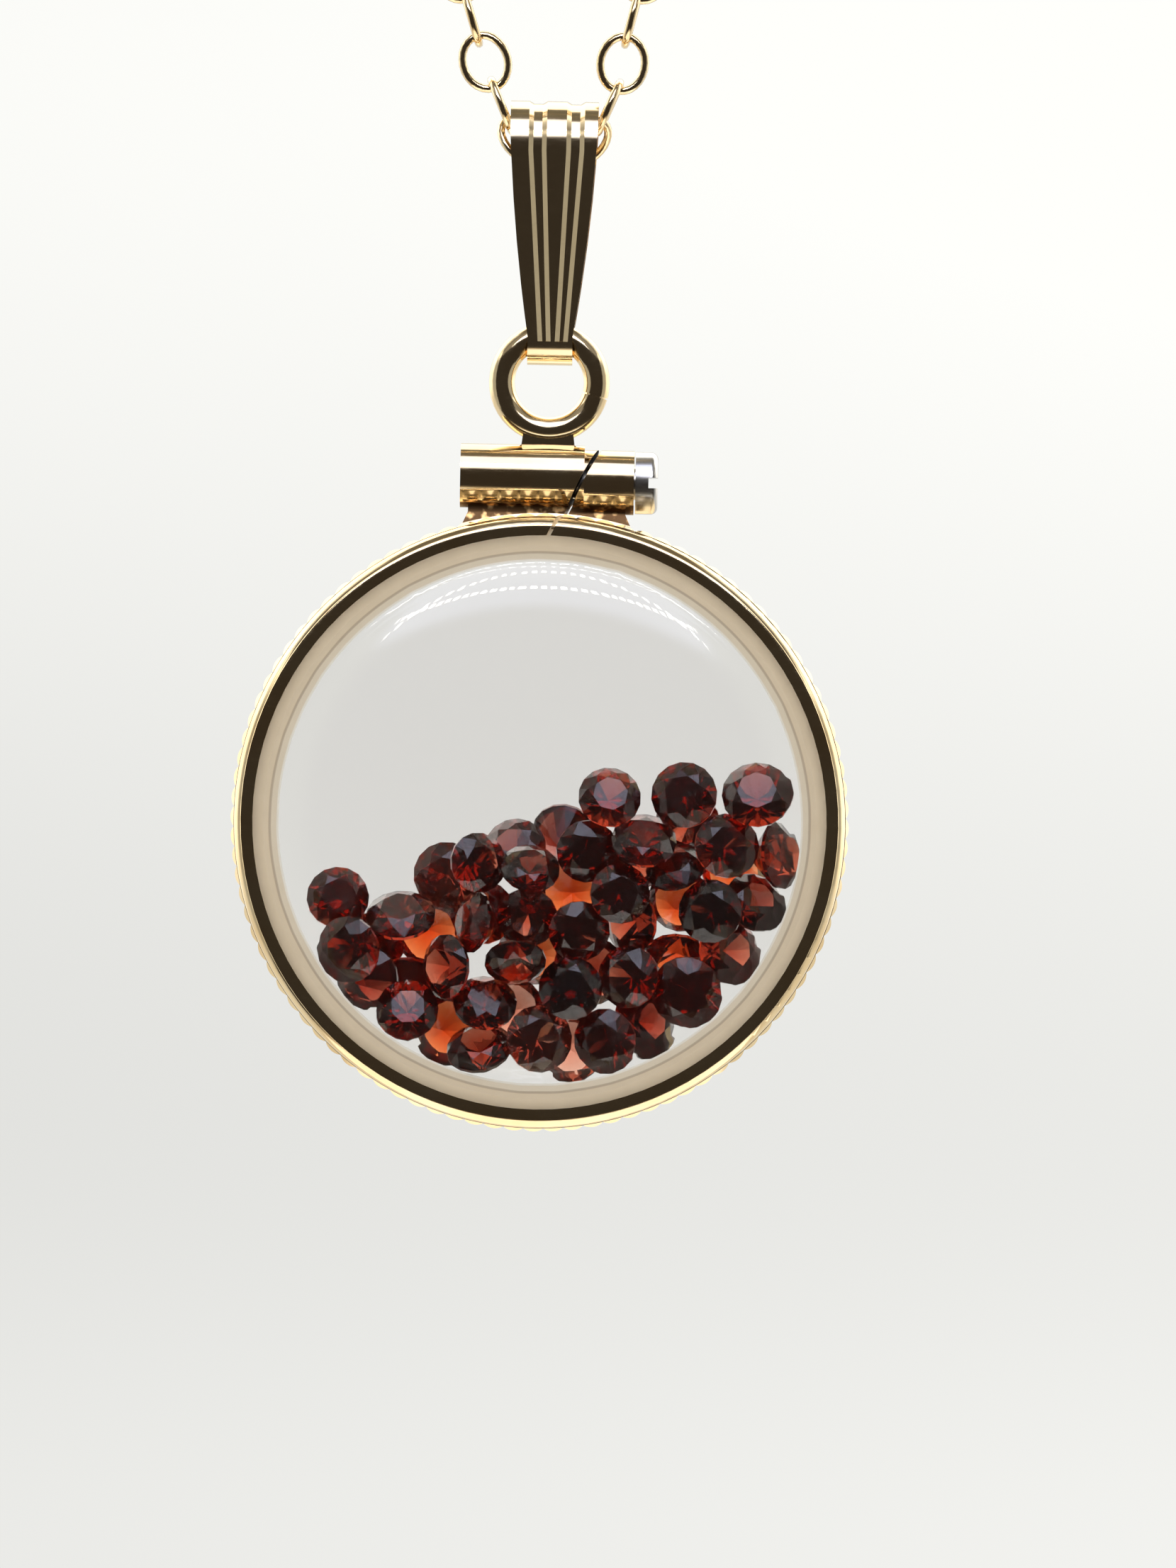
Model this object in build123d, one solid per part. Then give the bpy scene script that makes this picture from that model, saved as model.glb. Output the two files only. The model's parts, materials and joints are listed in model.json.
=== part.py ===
from build123d import *
from math import asin, cos, degrees, hypot, pi, radians, sin, sqrt, tan
import os

import numpy as np

# A round shaker locket: loose garnets between two domed crystals in a coin-edge bezel,
# hung from a fluted folded bail on an oval cable chain that is a whole necklace loop.
# Millimetres. X is to the right seen from the front, Y to the back and Z up.
# The origin is at the nape, under the closure, where the necklace hangs.

# Chain
chain_length = 457.0
wire_diameter = 0.27
link_length = 2.05
link_width = 1.72
link_clearance = 0.16
link_sides = 12
wire_sides = 5
front_links_a_side = 30
link_end_gap = 0.3
clasp_length = 6.0
clasp_diameter = 2.6
clasp_rounding = 0.8

# Bail
bail_width = 2.84
bail_foot_width = 1.46
bail_wall = 0.22
chain_eye_diameter = 2.56
ring_eye_diameter = 1.25
bail_eye_spacing = 6.22
flute_depth = 0.09
flute_width = 0.58
flute_foot_width = 0.42
flute_flank = 0.15
bail_straight_end = 0.9
bail_waist = 0.36
chain_drop = 0.22

# Bail ring, saddle, barrel and screw
bail_ring_diameter = 3.92
bail_ring_wire = 0.84
bail_ring_stand = 0.06
ring_seam_angle = -15.0
ring_seam_width = 0.05
ring_seam_depth = 0.07
saddle_width = 1.72
saddle_depth = 0.6
saddle_foot_width = 2.7
saddle_foot_depth = 1.64
saddle_foot_drop = 0.42
saddle_taper = 0.12
barrel_length = 5.63
barrel_diameter = 2.08
barrel_stand = 0.16
barrel_step = 0.14
plinth_width = 5.1
plinth_depth = 0.8
plinth_flare = 0.34
screw_diameter = 1.1
screw_clearance = 0.05
screw_length = 4.3
screw_head_diameter = 2.02
screw_head_height = 0.72
screw_head_rounding = 0.22
screw_slot_width = 0.34
screw_slot_depth = 0.3
split_width = 0.12
split_slant = 26.0
split_yaw = -6.0
split_offset = 1.2

# Bezel
bezel_diameter = 20.0
bezel_depth = 4.4
coin_edge_ribs = 96
coin_edge_depth = 3.4
coin_edge_relief = 0.1
rib_end_slope = 0.16
seam_step = 0.03
lip_width = 0.72
lip_thickness = 0.3
lip_face = 0.38
lip_roundness = 0.72
bezel_wall = 0.36
weld = 0.3

# Crystals, spacer ring and chamber
seat_clearance = 0.05
crystal_thickness = 0.36
crystal_rise = 0.7
crystal_crown = 0.25
shoulder_width = 2.6
shoulder_overhang = 0.25
shoulder_roundness = (0.487, 0.678)
spacer_width = 1.09
spacer_dish = 0.33

# Garnets
garnet_diameter = 2.0
garnet_gap = 0.03
table_share = 0.56
crown_angle = 34.5
pavilion_angle = 41.0
girdle_share = 0.05
star_share = 0.5
lower_half_share = 0.35
settle_rounds = 400
settle_pull = 0.02
settle_directions = 400

# Sizes that follow from those above
bezel_radius = bezel_diameter / 2
edge_root = bezel_radius - coin_edge_relief
band_radius = edge_root - seam_step
groove_radius = edge_root - bezel_wall
lip_radius = bezel_radius - lip_width
crystal_radius = groove_radius - seat_clearance
crystal_face = bezel_depth / 2 - lip_thickness - seat_clearance
spacer_half_depth = crystal_face - crystal_thickness - seat_clearance
chamber_radius = crystal_radius - spacer_width
dome_slope = 0.8 * crystal_rise / shoulder_width
bail_ring_radius = (bail_ring_diameter - bail_ring_wire) / 2
chain_eye_radius = chain_eye_diameter / 2
ring_eye_radius = ring_eye_diameter / 2
barrel_radius = barrel_diameter / 2
barrel_height = bezel_radius + barrel_stand + barrel_radius
screw_height = barrel_height - barrel_step
bail_ring_height = barrel_height + barrel_radius + bail_ring_stand + bail_ring_diameter / 2
wire_radius = wire_diameter / 2
link_half = (link_length - wire_diameter) / 2
link_half_width = (link_width - wire_diameter) / 2
link_pitch = 2 * link_half - wire_diameter - link_clearance

# The ring turns in the bail about a line that leaves as much room over the wire at its
# middle as under it at the bail's edges.
wire_top = bail_ring_radius + bail_ring_wire / 2
wire_foot = sqrt((bail_ring_radius - bail_ring_wire / 2) ** 2 - (bail_foot_width / 2) ** 2)
ring_axis_height = bail_ring_height + (wire_top + wire_foot) / 2
chain_axis_height = ring_axis_height + bail_eye_spacing

# Each flute's middle as a share of the strip's half width, at the upper eye and at the foot
flute_places = (
    # at top, at foot
    (-0.37, -0.26),
    (0.49, 0.50),
)

# Where the lowest links of each side point, in degrees from upright and outward. They hang
# from the middle link, which lies flat inside the bail. The links above them run straight.
left_headings = (33.0, 22.0, 19.0, 16.0)
right_headings = (30.5, 16.0, 11.0, 14.0)
front_stretch_half_width = 13.6

# The neck stretch on the right, from the end of the front links to the closure, mirrored on
# the left: each run's share of the chain's length and its direction from upright. One more
# run, at the closing heading, is as long as the way that is left to the closure.
neck_runs = (
    # share, heading
    (0.082, 17.5),
    (0.112, 15.5),
    (0.060, 10.0),
    (0.034, -5.0),
    (0.029, -23.0),
    (0.029, -41.0),
    (0.029, -59.0),
)
closing_heading = -77.0
corner_reach = 0.45

# The garnets where they lie seen from the front. x and z are shares of the chamber's
# radius, depth a share of its half depth, front is negative. tilt is how far the table
# leans from the front, toward the side it leans to, counted from +X up, and turn is the
# stone's own turn, all in degrees. size is a share of the usual diameter.
garnet_chart = (
    # x, z, depth, tilt, toward, turn, size
    (-0.77, -0.33, -0.40, 12, 60, 5, 1.00),
    (-0.73, -0.50, -0.45, 28, 200, 20, 1.08),
    (-0.66, -0.63, 0.45, 150, 30, 10, 1.04),
    (-0.53, -0.37, -0.30, 48, 95, 12, 1.14),
    (-0.44, -0.46, 0.55, 170, 300, 33, 1.12),
    (-0.60, -0.50, 0.55, 25, 240, 40, 1.02),
    (-0.51, -0.65, 0.52, 140, 90, 8, 1.10),
    (-0.49, -0.73, -0.45, 20, 80, 25, 1.00),
    (-0.33, -0.57, -0.40, 46, 180, 15, 1.06),
    (-0.36, -0.76, 0.55, 168, 20, 30, 1.10),
    (-0.20, -0.69, -0.45, 36, 85, 2, 1.04),
    (-0.22, -0.88, -0.30, 46, 100, 18, 1.06),
    (-0.33, -0.23, -0.10, 8, 200, 11, 1.08),
    (-0.22, -0.17, -0.55, 26, 10, 35, 0.98),
    (-0.07, -0.10, 0.45, 24, 120, 22, 1.04),
    (-0.05, -0.22, -0.50, 40, 80, 27, 0.96),
    (-0.06, -0.37, -0.48, 14, 260, 38, 0.98),
    (-0.24, -0.37, -0.35, 60, 170, 14, 1.02),
    (0.07, -0.06, 0.45, 150, 70, 6, 1.06),
    (0.18, -0.09, -0.45, 12, 320, 19, 1.02),
    (0.27, 0.06, -0.30, 22, 75, 9, 1.02),
    (0.56, 0.10, -0.35, 10, 140, 31, 1.08),
    (0.82, 0.10, -0.35, 24, 95, 4, 1.12),
    (0.41, -0.06, -0.50, 38, 85, 16, 1.06),
    (0.73, -0.06, -0.50, 16, 40, 24, 1.06),
    (0.73, -0.17, 0.52, 165, 200, 13, 1.06),
    (0.90, -0.11, 0.15, 64, 5, 28, 1.08),
    (0.54, -0.16, -0.40, 46, 110, 37, 1.00),
    (0.30, -0.28, -0.50, 10, 20, 3, 0.98),
    (0.12, -0.24, 0.50, 172, 120, 21, 1.10),
    (0.15, -0.41, -0.45, 14, 300, 17, 1.00),
    (0.39, -0.37, 0.52, 42, 185, 29, 1.08),
    (0.54, -0.29, 0.55, 160, 60, 7, 1.06),
    (0.66, -0.33, -0.48, 12, 150, 34, 1.04),
    (0.87, -0.32, 0.00, 34, 45, 12, 1.00),
    (0.77, -0.51, -0.20, 32, 5, 26, 1.08),
    (0.56, -0.50, 0.50, 46, 265, 1, 1.08),
    (0.60, -0.66, -0.42, 10, 250, 39, 1.14),
    (0.37, -0.59, -0.48, 18, 170, 23, 1.02),
    (0.13, -0.62, -0.50, 8, 90, 10, 1.04),
    (-0.08, -0.53, -0.45, 46, 275, 32, 1.00),
    (-0.01, -0.84, -0.45, 14, 30, 5, 1.08),
    (0.14, -0.89, 0.45, 162, 330, 20, 1.04),
    (0.27, -0.84, -0.42, 12, 200, 36, 1.02),
    (0.42, -0.77, 0.50, 30, 10, 15, 1.10),
    (-0.03, -0.50, 0.55, 158, 40, 9, 1.10),
    (0.37, -0.14, 0.50, 20, 310, 22, 1.10),
    (-0.22, -0.36, 0.55, 12, 80, 35, 1.06),
    (-0.10, -0.73, 0.55, 172, 10, 13, 1.12),
    (0.58, -0.01, 0.52, 16, 230, 2, 1.08),
    (0.22, -0.56, 0.55, 165, 150, 28, 1.12),
)


def closed_solid(faces):
    return Solid(Shell(faces))


def polygon_face(*corners):
    return Face(Wire.make_polygon([Vector(*corner) for corner in corners], close=True))


def brilliant_points(radius):
    """Corners of a round brilliant with its axis on Z and its girdle at z = 0."""
    girdle = radius * girdle_share
    table_radius = radius * table_share
    crown = (radius - table_radius) * tan(radians(crown_angle))
    pavilion = radius * tan(radians(pavilion_angle))
    inner = table_radius * cos(pi / 8)
    star_radius = inner + star_share * (radius - inner)
    star_height = crown * (radius - star_radius * cos(pi / 8)) / (radius - table_radius)
    half_radius = radius * lower_half_share
    half_height = pavilion * (1 - half_radius * cos(pi / 8) / radius)

    def ring(ring_radius, height, first, count):
        angles = [first + k * 2 * pi / count for k in range(count)]
        return [(ring_radius * cos(a), ring_radius * sin(a), height) for a in angles]

    return {
        "table": ring(table_radius, girdle + crown, 0, 8),
        "star": ring(star_radius, girdle + star_height, pi / 8, 8),
        "upper": ring(radius, girdle, 0, 16),
        "lower": ring(radius, -girdle, 0, 16),
        "half": ring(half_radius, -girdle - half_height, pi / 8, 8),
        "culet": [(0, 0, -girdle - pavilion)],
    }


def brilliant(radius):
    """A round brilliant: table, stars, kites, upper and lower halves and pavilion mains."""
    p = brilliant_points(radius)
    table, star, upper, lower, half = p["table"], p["star"], p["upper"], p["lower"], p["half"]
    culet = p["culet"][0]
    faces = [polygon_face(*table)]
    for k in range(8):
        after = (k + 1) % 8
        tip = 2 * k
        side = 2 * k + 1
        far = (2 * k + 2) % 16
        faces.append(polygon_face(table[k], star[k], table[after]))
        faces.append(polygon_face(table[k], star[k - 1], upper[tip], star[k]))
        faces.append(polygon_face(star[k], upper[tip], upper[side]))
        faces.append(polygon_face(star[k], upper[side], upper[far]))
        faces.append(polygon_face(upper[tip], lower[tip], lower[side], upper[side]))
        faces.append(polygon_face(upper[side], lower[side], lower[far], upper[far]))
        faces.append(polygon_face(half[k], lower[side], lower[tip]))
        faces.append(polygon_face(half[k], lower[far], lower[side]))
        faces.append(polygon_face(culet, half[k - 1], lower[tip], half[k]))
    return closed_solid(faces)


def stone_axes(tilt, toward, turn):
    """The three directions of a stone: across, along its other side, and its table."""
    lean = Vector(cos(radians(toward)), 0, sin(radians(toward)))
    table = Vector(0, -1, 0) * cos(radians(tilt)) + lean * sin(radians(tilt))
    side = table.cross(Vector(0, 0, 1) if abs(table.Z) < 0.9 else Vector(1, 0, 0)).normalized()
    side = side.rotate(Axis((0, 0, 0), tuple(table)), turn)
    return side, table.cross(side), table


def settled_centres(chamber_half_depth):
    """The charted places, moved apart until no two stones overlap and all are inside."""
    clouds = []
    centres = []
    for x, z, depth, tilt, toward, turn, size in garnet_chart:
        points = [q for group in brilliant_points(garnet_diameter / 2 * size).values() for q in group]
        axes = np.array([tuple(axis) for axis in stone_axes(tilt, toward, turn)])
        clouds.append(np.array(points) @ axes)
        centres.append((x * chamber_radius, depth * chamber_half_depth, z * chamber_radius))
    wanted = np.array(centres)
    centres = wanted.copy()
    step = np.arange(settle_directions) + 0.5
    rise = 1 - 2 * step / settle_directions
    swing = step * pi * (1 + sqrt(5))
    flat = np.sqrt(1 - rise**2)
    ways = np.stack([flat * np.cos(swing), flat * np.sin(swing), rise], axis=1)
    reach = np.array([(cloud @ ways.T).max(axis=0) for cloud in clouds])
    back = np.array([(cloud @ ways.T).min(axis=0) for cloud in clouds])
    first, second = np.triu_indices(len(clouds), 1)
    for _ in range(settle_rounds):
        centres += settle_pull * (wanted - centres)
        apart = (centres[second] - centres[first]) @ ways.T + back[second] - reach[first]
        best = apart.argmax(axis=1)
        short = np.maximum(garnet_gap - apart.max(axis=1), 0)
        push = 0.5 * short[:, None] * ways[best]
        np.add.at(centres, first, -push)
        np.add.at(centres, second, push)
        for k, cloud in enumerate(clouds):
            corners = cloud + centres[k]
            out = np.hypot(corners[:, 0], corners[:, 2])
            over = out.max() - (chamber_radius - garnet_gap)
            if over > 0:
                worst = corners[out.argmax()]
                centres[k, 0] -= over * worst[0] / out.max()
                centres[k, 2] -= over * worst[2] / out.max()
            dome_room = np.minimum(dome_slope * (chamber_radius - out), dome_slope * shoulder_width)
            limit = chamber_half_depth - garnet_gap + dome_room.clip(0)
            centres[k, 1] -= max((corners[:, 1] - limit).max(), 0)
            centres[k, 1] += max((-limit - corners[:, 1]).max(), 0)
    return centres


def garnets():
    """Every garnet in its settled place, in the locket's own frame."""
    centres = settled_centres(spacer_half_depth + seat_clearance)
    stones = []
    for row, centre in zip(garnet_chart, centres):
        x, z, depth, tilt, toward, turn, size = row
        side, other, table = stone_axes(tilt, toward, turn)
        place = Plane(origin=tuple(float(v) for v in centre), x_dir=side, z_dir=table)
        stones.append(brilliant(garnet_diameter / 2 * size).moved(place.location))
    return stones


def coin_edge():
    """The ribbed band round the bezel, one round rib after another."""
    step = 2 * pi / coin_edge_ribs

    def spot(radius, turn):
        return (radius * cos(turn * step), radius * sin(turn * step))

    arcs = []
    for k in range(coin_edge_ribs):
        arcs.append(
            ThreePointArc(
                spot(edge_root, k - 0.5), spot(bezel_radius, k), spot(edge_root, k + 0.5)
            )
        )
    inner = groove_radius + bezel_wall / 2
    outline = Face(Wire(arcs)) - Circle(inner)
    ribs = extrude(Plane.XZ * outline, coin_edge_depth / 2, both=True)
    root = coin_edge_depth / 2
    tip = root - rib_end_slope
    profile = Polygon(
        (inner, root),
        (edge_root, root),
        (bezel_radius, tip),
        (bezel_radius, -tip),
        (edge_root, -root),
        (inner, -root),
        align=None,
    )
    return ribs & revolve(profile, Axis.Y)


def bezel_band():
    """The plain band with both lips and the groove between them, turned about Y."""
    front = bezel_depth / 2
    groove = front - lip_thickness
    shoulder = coin_edge_depth / 2
    turn_in = lip_radius + lip_face
    middle = (
        turn_in + lip_roundness * (band_radius - turn_in),
        shoulder + lip_roundness * (front - shoulder),
    )
    edges = []
    for way in (1, -1):
        edges.append(Line((lip_radius, way * groove), (lip_radius, way * front)))
        edges.append(Line((lip_radius, way * front), (turn_in, way * front)))
        edges.append(
            ThreePointArc(
                (turn_in, way * front),
                (middle[0], way * middle[1]),
                (band_radius, way * shoulder),
            )
        )
        edges.append(Line((lip_radius, way * groove), (groove_radius, way * groove)))
    edges.append(Line((band_radius, shoulder), (band_radius, -shoulder)))
    edges.append(Line((groove_radius, groove), (groove_radius, -groove)))
    return revolve(Face(Wire(edges)), Axis.Y)


def cylinder_x(diameter, left, right, height):
    long = right - left
    return Pos((left + right) / 2, 0, height) * Rot(0, 90, 0) * Cylinder(diameter / 2, long)


def saddle():
    """The solder neck under the bail ring, upright at first and then flaring over the barrel."""
    crest = bail_ring_height - bail_ring_radius
    brow = barrel_height + barrel_radius
    top = Pos(0, 0, crest) * Rectangle(saddle_width - saddle_taper, saddle_depth)
    middle = Pos(0, 0, brow) * Rectangle(saddle_width, saddle_depth)
    foot = Pos(0, 0, brow - saddle_foot_drop) * Rectangle(saddle_foot_width, saddle_foot_depth)
    return loft([top, middle]) + loft([middle, foot])


def bail_ring():
    """The round ring on the barrel, with the shallow seam where its wire was closed."""
    ring = Rot(90, 0, 0) * Torus(bail_ring_radius, bail_ring_wire / 2)
    core = Rot(90, 0, 0) * Torus(bail_ring_radius, bail_ring_wire / 2 - ring_seam_depth)
    slit = Pos(bail_ring_radius, 0, 0) * Box(2 * bail_ring_wire, 2 * bail_ring_wire, ring_seam_width)
    seam = Rot(0, -ring_seam_angle, 0) * slit
    return Pos(0, 0, bail_ring_height) * (ring - (seam & (ring - core)))


def plinth():
    """The solder bed under the barrel, flaring all round on its way down to the coin edge."""
    brow = screw_height - barrel_radius
    low = sqrt(edge_root**2 - (plinth_width / 2) ** 2) - weld
    spread = 2 * plinth_flare
    block = Pos(0, 0, brow) * Box(plinth_width, plinth_depth, barrel_radius)
    skirt = loft(
        [
            Pos(0, 0, low) * Rectangle(plinth_width + spread, plinth_depth + spread),
            Pos(0, 0, brow) * Rectangle(plinth_width, plinth_depth),
        ]
    )
    return block + skirt - Rot(90, 0, 0) * Cylinder(groove_radius + bezel_wall / 2, bezel_depth)


def bezel():
    """The soldered frame: band, coin edge, plinth, both barrel halves, saddle and ring."""
    end = barrel_length / 2
    middle = split_offset
    frame = bezel_band() + coin_edge() + plinth()
    frame += cylinder_x(barrel_diameter, -end, middle, barrel_height)
    frame += cylinder_x(barrel_diameter, middle, end, screw_height)
    frame += saddle() + bail_ring()
    bore = screw_diameter + 2 * screw_clearance
    frame -= cylinder_x(bore, end - screw_length - screw_clearance, end + 1, screw_height)
    split_top = barrel_height + barrel_radius + weld
    split_foot = lip_radius - weld
    split_long = (split_top - split_foot) / cos(radians(split_slant))
    centre = (split_top + split_foot) / 2
    shift = split_offset + tan(radians(split_slant)) * (centre - screw_height)
    split = Box(split_width, 3 * bezel_depth, split_long)
    return frame - Pos(shift, 0, centre) * Rot(0, 0, split_yaw) * Rot(0, split_slant, 0) * split


def clasp_screw():
    """The slotted screw that draws the two barrel halves together."""
    seat = barrel_length / 2 + screw_clearance
    tip = barrel_length / 2 - screw_length
    head = cylinder_x(screw_head_diameter, seat, seat + screw_head_height, screw_height)
    rim = head.edges().filter_by(GeomType.CIRCLE).sort_by(Axis.X)[-1]
    head = fillet(rim, screw_head_rounding)
    slot = Pos(seat + screw_head_height, 0, screw_height) * Box(
        2 * screw_slot_depth, 2 * screw_head_diameter, screw_slot_width
    )
    return head - slot + cylinder_x(screw_diameter, tip, seat + screw_head_height / 4, screw_height)


def crystal(way):
    """A clear disc with a flat rim, a rounded shoulder and a gently domed middle."""
    shoulder_out = chamber_radius + shoulder_overhang
    shoulder_in = shoulder_out - shoulder_width

    def skin(depth, inset):
        foot = (shoulder_out - inset, depth)
        brow = (shoulder_in - inset, depth + crystal_rise)
        along, up = shoulder_roundness
        bend = (foot[0] - along * shoulder_width, depth + up * crystal_rise)
        crown = (0, depth + crystal_rise + crystal_crown)
        dome = (brow[0] ** 2 + crystal_crown**2) / (2 * crystal_crown)
        half = brow[0] / 2
        cap = (half, crown[1] - dome + sqrt(dome**2 - half**2))
        return foot, bend, brow, cap, crown

    outer = skin(crystal_face, 0)
    inner = skin(crystal_face - crystal_thickness, crystal_thickness / 2)
    edges = [
        Line((crystal_radius, crystal_face), outer[0]),
        ThreePointArc(outer[0], outer[1], outer[2]),
        ThreePointArc(outer[2], outer[3], outer[4]),
        Line(outer[4], inner[4]),
        ThreePointArc(inner[4], inner[3], inner[2]),
        ThreePointArc(inner[2], inner[1], inner[0]),
        Line(inner[0], (crystal_radius, crystal_face - crystal_thickness)),
        Line((crystal_radius, crystal_face - crystal_thickness), (crystal_radius, crystal_face)),
    ]
    disc = revolve(Face(Wire(edges)), Axis.Y)
    return disc if way > 0 else mirror(disc, Plane.XZ)


def spacer_ring():
    """The pale ring that keeps the crystals apart, its faces dished a little inward."""
    step = (crystal_radius + chamber_radius) / 2
    outline = Polygon(
        (crystal_radius, spacer_half_depth),
        (step, spacer_half_depth),
        (chamber_radius, spacer_half_depth - spacer_dish),
        (chamber_radius, spacer_dish - spacer_half_depth),
        (step, -spacer_half_depth),
        (crystal_radius, -spacer_half_depth),
        align=None,
    )
    return revolve(outline, Axis.Y)


def eye_to_eye(upper, lower):
    """The side outline round both eyes, in Y and Z, and its tangent points in front."""
    down = -(upper - lower) / bail_eye_spacing
    out = sqrt(1 - down**2)
    top = (upper * out, upper * down)
    foot = (lower * out, lower * down - bail_eye_spacing)
    outline = Wire(
        [
            ThreePointArc(top, (0, upper), (-top[0], top[1])),
            Line((-top[0], top[1]), (-foot[0], foot[1])),
            ThreePointArc((-foot[0], foot[1]), (0, -bail_eye_spacing - lower), foot),
            Line(foot, top),
        ]
    )
    return Face(outline), top, foot


def flute(top_middle, foot_middle):
    """The cutter of one flute: over the top eye and down both leaves."""
    outline, top, foot = eye_to_eye(chain_eye_radius + bail_wall, ring_eye_radius + bail_wall)
    tilt = asin(-(chain_eye_radius - ring_eye_radius) / bail_eye_spacing)
    spare = flute_depth / 2

    def section(spot, middle, wide, way):
        normal = Vector(0, way * cos(tilt), sin(tilt))
        base = Vector(middle, way * spot[0], spot[1])
        floor = wide / 2 - flute_flank
        brim = floor + flute_flank * (flute_depth + spare) / flute_depth
        corners = [
            base + Vector(-brim, 0, 0) + normal * spare,
            base + Vector(brim, 0, 0) + normal * spare,
            base + Vector(floor, 0, 0) - normal * flute_depth,
            base + Vector(-floor, 0, 0) - normal * flute_depth,
        ]
        return Face(Wire.make_polygon(corners, close=True))

    cutter = None
    for way in (-1, 1):
        upper = section(top, top_middle, flute_width, way)
        lower = section(foot, foot_middle, flute_foot_width, way)
        leaf = loft([upper, lower], ruled=True)
        cutter = leaf if cutter is None else cutter + leaf
    over = revolve(
        section(top, top_middle, flute_width, 1),
        Axis((0, 0, 0), (1, 0, 0)),
        180 - 2 * degrees(tilt),
    )
    return cutter + over


def pinch_bail():
    """The folded, tapering strip with its two flutes, its upper eye centred on the origin."""
    outer = eye_to_eye(chain_eye_radius + bail_wall, ring_eye_radius + bail_wall)[0]
    inner = eye_to_eye(chain_eye_radius, ring_eye_radius)[0]
    strip = extrude(Plane.YZ * (outer - inner), bail_width, both=True)
    top = chain_eye_radius + bail_wall
    bottom = -bail_eye_spacing - ring_eye_radius - bail_wall
    wide = bail_width / 2
    narrow = bail_foot_width / 2
    shoulder = top - bail_straight_end
    ankle = bottom + bail_straight_end
    belly = (wide + bail_waist * (narrow - wide), (shoulder + ankle) / 2)
    over = top + bail_wall
    under = bottom - bail_wall
    front = Wire(
        [
            Line((-wide, over), (wide, over)),
            Line((wide, over), (wide, shoulder)),
            ThreePointArc((wide, shoulder), belly, (narrow, ankle)),
            Line((narrow, ankle), (narrow, under)),
            Line((narrow, under), (-narrow, under)),
            Line((-narrow, under), (-narrow, ankle)),
            ThreePointArc((-narrow, ankle), (-belly[0], belly[1]), (-wide, shoulder)),
            Line((-wide, shoulder), (-wide, over)),
        ]
    )
    strip &= extrude(Plane.XZ * Face(front), 2 * top, both=True)
    for at_top, at_foot in flute_places:
        strip -= flute(at_top * wide, at_foot * narrow)
    return strip


def link_solid():
    """One oval link of round wire in flat facets, long along X and flat in XZ."""
    path = []
    for k in range(link_sides):
        turn = 2 * pi * k / link_sides
        path.append(Vector(link_half * cos(turn), 0, link_half_width * sin(turn)))
    across = Vector(0, 1, 0)
    rings = []
    for k in range(link_sides):
        before = (path[k] - path[k - 1]).normalized()
        after = (path[(k + 1) % link_sides] - path[k]).normalized()
        along = (before + after).normalized()
        out = along.cross(across).normalized()
        mitre = along.dot(after)
        ring = []
        for j in range(wire_sides):
            angle = 2 * pi * j / wire_sides
            ring.append(
                path[k] + out * (wire_radius * cos(angle) / mitre) + across * (wire_radius * sin(angle))
            )
        rings.append(ring)
    faces = []
    for k in range(link_sides):
        here = rings[k]
        there = rings[(k + 1) % link_sides]
        for j in range(wire_sides):
            more = (j + 1) % wire_sides
            faces.append(polygon_face(here[j], here[more], there[more], there[j]))
    return closed_solid(faces)


def front_tips(way, headings):
    """The upper end of each link of one side, from the middle link's own end up."""
    x = link_half
    z = -chain_drop
    tips = [(way * x, z)]
    for heading in headings:
        x += link_pitch * sin(radians(heading))
        z += link_pitch * cos(radians(heading))
        tips.append((way * x, z))
    left = front_links_a_side - len(headings)
    lean = asin((front_stretch_half_width - x) / (left * link_pitch))
    for _ in range(left):
        x += link_pitch * sin(lean)
        z += link_pitch * cos(lean)
        tips.append((way * x, z))
    return tips


def chain_front():
    """The links near the bail, each a quarter turn from the next."""
    link = link_solid()
    links = [Pos(0, 0, -chain_drop) * Rot(90, 0, 0) * link]
    for way, headings in ((-1, left_headings), (1, right_headings)):
        tips = front_tips(way, headings)
        for k in range(front_links_a_side):
            (x0, z0), (x1, z1) = tips[k], tips[k + 1]
            along = Vector(x1 - x0, 0, z1 - z0).normalized()
            flat = k % 2 == 0
            normal = Vector(0, 1, 0) if flat else along.cross(Vector(0, 1, 0)).normalized()
            middle = Vector(x1, 0, z1) - along * link_half
            place = Plane(origin=middle, x_dir=along, z_dir=-normal)
            links.append((place.location * Rot(90, 0, 0)) * link)
    return links


def shared_neck_corners():
    """The corners of the neck stretch on the right, ending at the closure."""
    x = front_stretch_half_width
    z = front_tips(1, right_headings)[-1][1]
    corners = []
    for share, heading in neck_runs:
        x += chain_length * share * sin(radians(heading))
        z += chain_length * share * cos(radians(heading))
        corners.append((x, z))
    end = clasp_length / 2 + link_end_gap
    z += (x - end) / tan(radians(-closing_heading))
    corners.append((end, z))
    return corners


def neck_points(way, headings):
    """The route of the neck stretch on one side, from the front links to the closure."""
    (x0, z0), (x1, z1) = front_tips(way, headings)[-2:]
    long = hypot(x1 - x0, z1 - z0)
    skip = wire_radius + link_end_gap
    points = [(x1 + (x1 - x0) / long * skip, z1 + (z1 - z0) / long * skip)]
    points += [(way * x, z) for x, z in neck_corners]
    return points


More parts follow.
